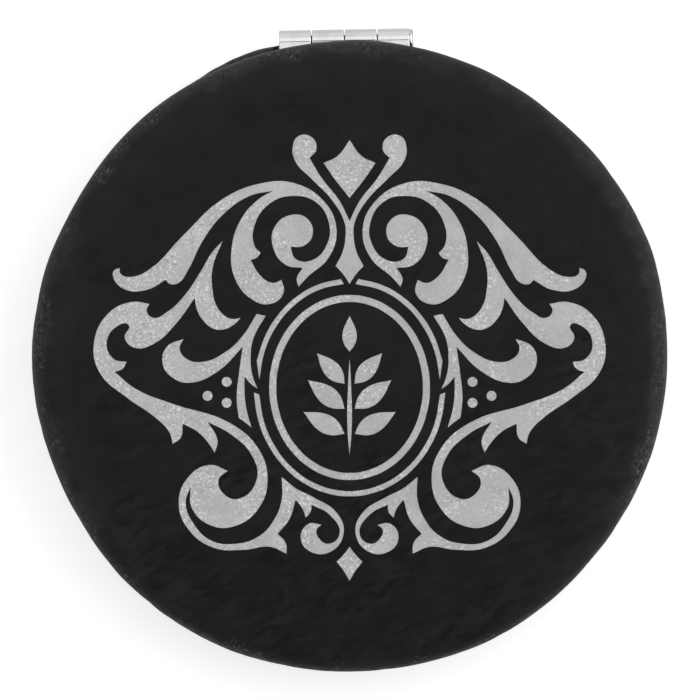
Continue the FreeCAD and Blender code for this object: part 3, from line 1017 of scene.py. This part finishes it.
def metal_material(name, bright, dull, roughness, smudge_size):
    """Plated or drawn metal with smudges and fine scratches."""
    material, tree, shader, place = begin_material(name, {"Metallic": 1})
    marks = placed_group(tree, handling_marks, {"Place": place, "Spots": 1 / smudge_size})
    tone = blended(tree, marks["Smudge"], bright, dull)
    feed(tree, blended(tree, marks["Scratch"], tone, dull), shader.inputs["Base Color"])
    feed(tree, ranged(tree, marks["Smudge"], (0, 1, *roughness)), shader.inputs["Roughness"])
    bumped(tree, shader, marks["Scratch"], SCRATCH_RELIEF)
    return material


# Hinge pin
PIN_SMUDGE_SIZE = 1.5 * MM
PIN_HEAD = (6.59 * MM, 6.61 * MM, 0, 1)
PIN_PLATE = grey(0.58)
PIN_PLATE_DULL = (0.5, 0.5, 0.51, 1)
# The steel colours are dark partly as painted shade in the gaps between the knuckles.
PIN_STEEL_AND_GAP_SHADE = grey(0.1)
PIN_STEEL_AND_GAP_SHADE_DULL = (0.06, 0.055, 0.05, 1)
PIN_ROUGHNESS = (0, 1, 0.14, 0.28)


def pin_material():
    """Hinge pin: dark drawn steel, dark also as painted shade in the gaps between the knuckles, with a
    plated head.
    """
    material, tree, shader, place = begin_material("hinge_pin", {"Metallic": 1})
    marks = placed_group(tree, handling_marks, {"Place": place, "Spots": 1 / PIN_SMUDGE_SIZE})
    head = ranged(tree, parted(tree, place)["X"], PIN_HEAD)
    plated = blended(tree, marks["Smudge"], PIN_PLATE, PIN_PLATE_DULL)
    # Dark steel away from the head, dark also as painted shade in the gaps between the knuckles.
    drawn = blended(tree, marks["Smudge"], PIN_STEEL_AND_GAP_SHADE, PIN_STEEL_AND_GAP_SHADE_DULL)
    feed(tree, blended(tree, head, drawn, plated), shader.inputs["Base Color"])
    feed(tree, ranged(tree, marks["Smudge"], PIN_ROUGHNESS), shader.inputs["Roughness"])
    return material


# Mirror glass
MIRROR_SMUDGE_SIZE = 9 * MM
MIRROR_CLEAR = (0.71, 0.72, 0.72, 1)
MIRROR_SMEARED = (0.695, 0.705, 0.705, 1)
MIRROR_GROUND = (0.55, 0.66, 0.62, 1)
MIRROR_EDGE = (25.65 * MM, 25.8 * MM, 0, 1)
MIRROR_ROUGHNESS = (0, 1, 0.01, 0.05)
MIRROR_EDGE_ROUGHNESS = (0, 1, 0, 0.25)


def mirror_material():
    """Silvered glass with faint smears and a pale green ground edge."""
    material, tree, shader, place = begin_material("mirror", {"Metallic": 1})
    marks = placed_group(tree, handling_marks, {"Place": place, "Spots": 1 / MIRROR_SMUDGE_SIZE})
    edge = ranged(tree, from_axis(tree, place), MIRROR_EDGE)
    glass = blended(tree, marks["Smudge"], MIRROR_CLEAR, MIRROR_SMEARED)
    feed(tree, blended(tree, edge, glass, MIRROR_GROUND), shader.inputs["Base Color"])
    smear = ranged(tree, marks["Smudge"], MIRROR_ROUGHNESS)
    rough = reckoned(tree, "MAXIMUM", smear, ranged(tree, edge, MIRROR_EDGE_ROUGHNESS))
    feed(tree, rough, shader.inputs["Roughness"])
    return material


# Moulded, foamed and pressed stuff
PRESSED_GLOSS = 0.3
TOOTH_SHADE = (0.75, 1.25, 0, 1)
CLOUD_SPAN = (0.3, 0.7)


def pressed_material(name, dark, pale, roughness, tooth_size, relief):
    """Moulded, foamed or pressed stuff with a fine tooth."""
    material, tree, shader, place = begin_material(name, {"Specular IOR Level": PRESSED_GLOSS})
    surface = placed_group(tree, moulded_tooth, {"Place": place, "Tooth": 1 / tooth_size})
    share = ranged(tree, reckoned(tree, "ADD", surface["Height"], surface["Cloud"]), TOOTH_SHADE)
    feed(tree, blended(tree, share, dark, pale), shader.inputs["Base Color"])
    feed(tree, ranged(tree, surface["Cloud"], CLOUD_SPAN + roughness), shader.inputs["Roughness"])
    bumped(tree, shader, surface["Height"], relief)
    return material


leather = leather_material()
silver = silver_material()
chrome = metal_material(
    "hinge_chrome",
    bright=grey(0.65),
    dull=(0.59, 0.59, 0.6, 1),
    roughness=(0.06, 0.12),
    smudge_size=2 * MM,
)
nickel = metal_material(
    "magnet_nickel",
    bright=(0.58, 0.56, 0.53, 1),
    dull=(0.48, 0.46, 0.43, 1),
    roughness=(0.22, 0.36),
    smudge_size=3 * MM,
)
steel = metal_material(
    "rivet_steel",
    bright=(0.42, 0.42, 0.43, 1),
    dull=(0.30, 0.30, 0.31, 1),
    roughness=(0.28, 0.42),
    smudge_size=1 * MM,
)
pin_steel = pin_material()
mirror = mirror_material()
plastic = pressed_material(
    "core_plastic",
    dark=(0.022, 0.022, 0.023, 1),
    pale=(0.032, 0.032, 0.033, 1),
    roughness=(0.5, 0.62),
    tooth_size=0.25 * MM,
    relief=0.01 * MM,
)
card = pressed_material(
    "packing_card",
    dark=(0.40, 0.36, 0.30, 1),
    pale=(0.52, 0.47, 0.40, 1),
    roughness=(0.8, 0.92),
    tooth_size=0.3 * MM,
    relief=0.03 * MM,
)
tape = pressed_material(
    "mirror_tape",
    dark=(0.72, 0.70, 0.62, 1),
    pale=(0.78, 0.77, 0.70, 1),
    roughness=(0.5, 0.62),
    tooth_size=0.5 * MM,
    relief=0.01 * MM,
)
foam = pressed_material(
    "foam",
    dark=(0.50, 0.50, 0.48, 1),
    pale=(0.66, 0.66, 0.64, 1),
    roughness=(0.85, 0.97),
    tooth_size=0.4 * MM,
    relief=0.15 * MM,
)

PIECE_MATERIALS = (
    (lid_cover, leather),
    (base_cover, leather),
    (lid_ornament, silver),
    (lid_foam, foam),
    (base_foam, foam),
)
for piece, material in PIECE_MATERIALS:
    piece.data.materials.clear()
    piece.data.materials.append(material)
NODE_MATERIALS = {
    "lid_core": plastic,
    "base_core": plastic,
    "lid_hinge_leaf": chrome,
    "base_hinge_leaf": chrome,
    "hinge_pin": pin_steel,
    "lid_hinge_rivets": steel,
    "base_hinge_rivets": steel,
    "lid_magnet": nickel,
    "base_magnet": nickel,
    "lid_packing_card": card,
    "base_packing_ring": card,
    "lid_mirror_tape": tape,
    "base_mirror_tape": tape,
    "lid_mirror": mirror,
    "base_mirror": mirror,
}
for name, material in NODE_MATERIALS.items():
    nodes[name].material_slots[0].material = material


# Stage
FLOOR_LEVEL = -0.15 * MM
FLOOR_HALF_SIZE = 3
FLOOR_SETTINGS = {
    "Base Color": grey(0.85),
    "Roughness": 0.9,
    "Specular IOR Level": 0,
    "Emission Color": grey(1),
}
FLOOR_GLOW = 0.54
FLOOR_MIRRORED_GLOW = 0.15
WORLD_LIGHT = 0.5
SKY_REACH = 1.5
LEAST_RISE = 0.01
RAMP_MIDDLE = 0.5

# Strips of the room that bright metal mirrors: how far back for their height, and strength
SKY_TONES = ((-1.5, 0.95), (-0.6, 1.1), (-0.06, 0.75), (0.04, 1.22), (0.06, 1.22), (0.07, 0.38),
             (0.25, 0.38), (0.29, 1.35), (0.85, 1.3), (1.1, 1.02))


def seen_shares(tree):
    """1 for what the camera sees directly or through glass, and 1 for what it sees in a reflection."""
    path = add_node(tree, "LightPath", {}).outputs
    eye = reckoned(tree, "MAXIMUM", path["Is Camera Ray"], path["Is Transmission Ray"])
    return eye, path["Is Glossy Ray"]


floor_bm = bmesh.new()
bmesh.ops.create_grid(floor_bm, x_segments=1, y_segments=1, size=FLOOR_HALF_SIZE)
bmesh.ops.translate(floor_bm, verts=floor_bm.verts, vec=(0, 0, FLOOR_LEVEL))
floor = add_piece("floor", floor_bm)
floor_material, tree, shader, _ = begin_material("floor", FLOOR_SETTINGS)
eye, mirrored_eye = seen_shares(tree)
direct_glow = product(tree, eye, FLOOR_GLOW)
mirrored_glow = product(tree, mirrored_eye, FLOOR_MIRRORED_GLOW)
feed(tree, reckoned(tree, "MAXIMUM", direct_glow, mirrored_glow), shader.inputs["Emission Strength"])
floor.data.materials.append(floor_material)

# White room, whose strips show only in reflections
world = bpy.data.worlds.new("studio")
bpy.context.scene.world = world
world.use_nodes = True
tree = world.node_tree
background = tree.nodes["Background"]
background.inputs["Color"].default_value = grey(1)
way = parted(tree, add_node(tree, "TexCoord", {}).outputs["Generated"])
backward = reckoned(tree, "DIVIDE", way["Y"], reckoned(tree, "MAXIMUM", way["Z"], LEAST_RISE))
spread = reckoned(tree, "ADD", reckoned(tree, "DIVIDE", backward, 2 * SKY_REACH), RAMP_MIDDLE)
sky = add_node(tree, "ValToRGB", {"Fac": spread})
stops = sky.color_ramp.elements
stops.remove(stops[1])
stops[0].position = 0
stops[0].color = grey(SKY_TONES[0][1])
for slope, tone in SKY_TONES[1:]:
    stops.new(slope / (2 * SKY_REACH) + RAMP_MIDDLE).color = grey(tone)
eye, mirrored_eye = seen_shares(tree)
seen = reckoned(tree, "MAXIMUM", eye, product(tree, sky.outputs["Color"], mirrored_eye))
unseen = reckoned(tree, "SUBTRACT", 1, reckoned(tree, "MAXIMUM", eye, mirrored_eye))
strength = reckoned(tree, "ADD", seen, product(tree, unseen, WORLD_LIGHT))
feed(tree, strength, background.inputs["Strength"])


def area_light(name, place, size, power):
    """Soft lamp that faces the compact."""
    lamp = bpy.data.lights.new(name, "AREA")
    lamp.size = size
    lamp.energy = power
    light = bpy.data.objects.new(name, lamp)
    light.location = place
    light.rotation_euler = (-Vector(place)).to_track_quat("-Z", "Y").to_euler()
    bpy.context.scene.collection.objects.link(light)
    return light


area_light("key_lamp", place=(0.55, 0.2, 0.42), size=0.9, power=3.0)
fill_lamp = area_light("fill_lamp", place=(-0.4, 0.36, 0.6), size=1.03, power=1.45)
fill_lamp.visible_glossy = False

# Camera straight above, turned so that the ornament stands upright
CAMERA_PLACE = (0, 0.56 * MM, 0.65)
OUTLINE_HEIGHT = 9.4 * MM
VIEW_WIDTH = 70.28 * MM
SENSOR_WIDTH = 36
camera_data = bpy.data.cameras.new("camera")
camera_data.sensor_width = SENSOR_WIDTH
camera_data.lens = SENSOR_WIDTH * (CAMERA_PLACE[2] - OUTLINE_HEIGHT) / VIEW_WIDTH
camera = bpy.data.objects.new("camera", camera_data)
camera.location = CAMERA_PLACE
camera.rotation_euler = (0, 0, math.radians(ORNAMENT_TURN))
bpy.context.scene.collection.objects.link(camera)
bpy.context.scene.camera = camera
bpy.context.scene.view_settings.view_transform = "Standard"
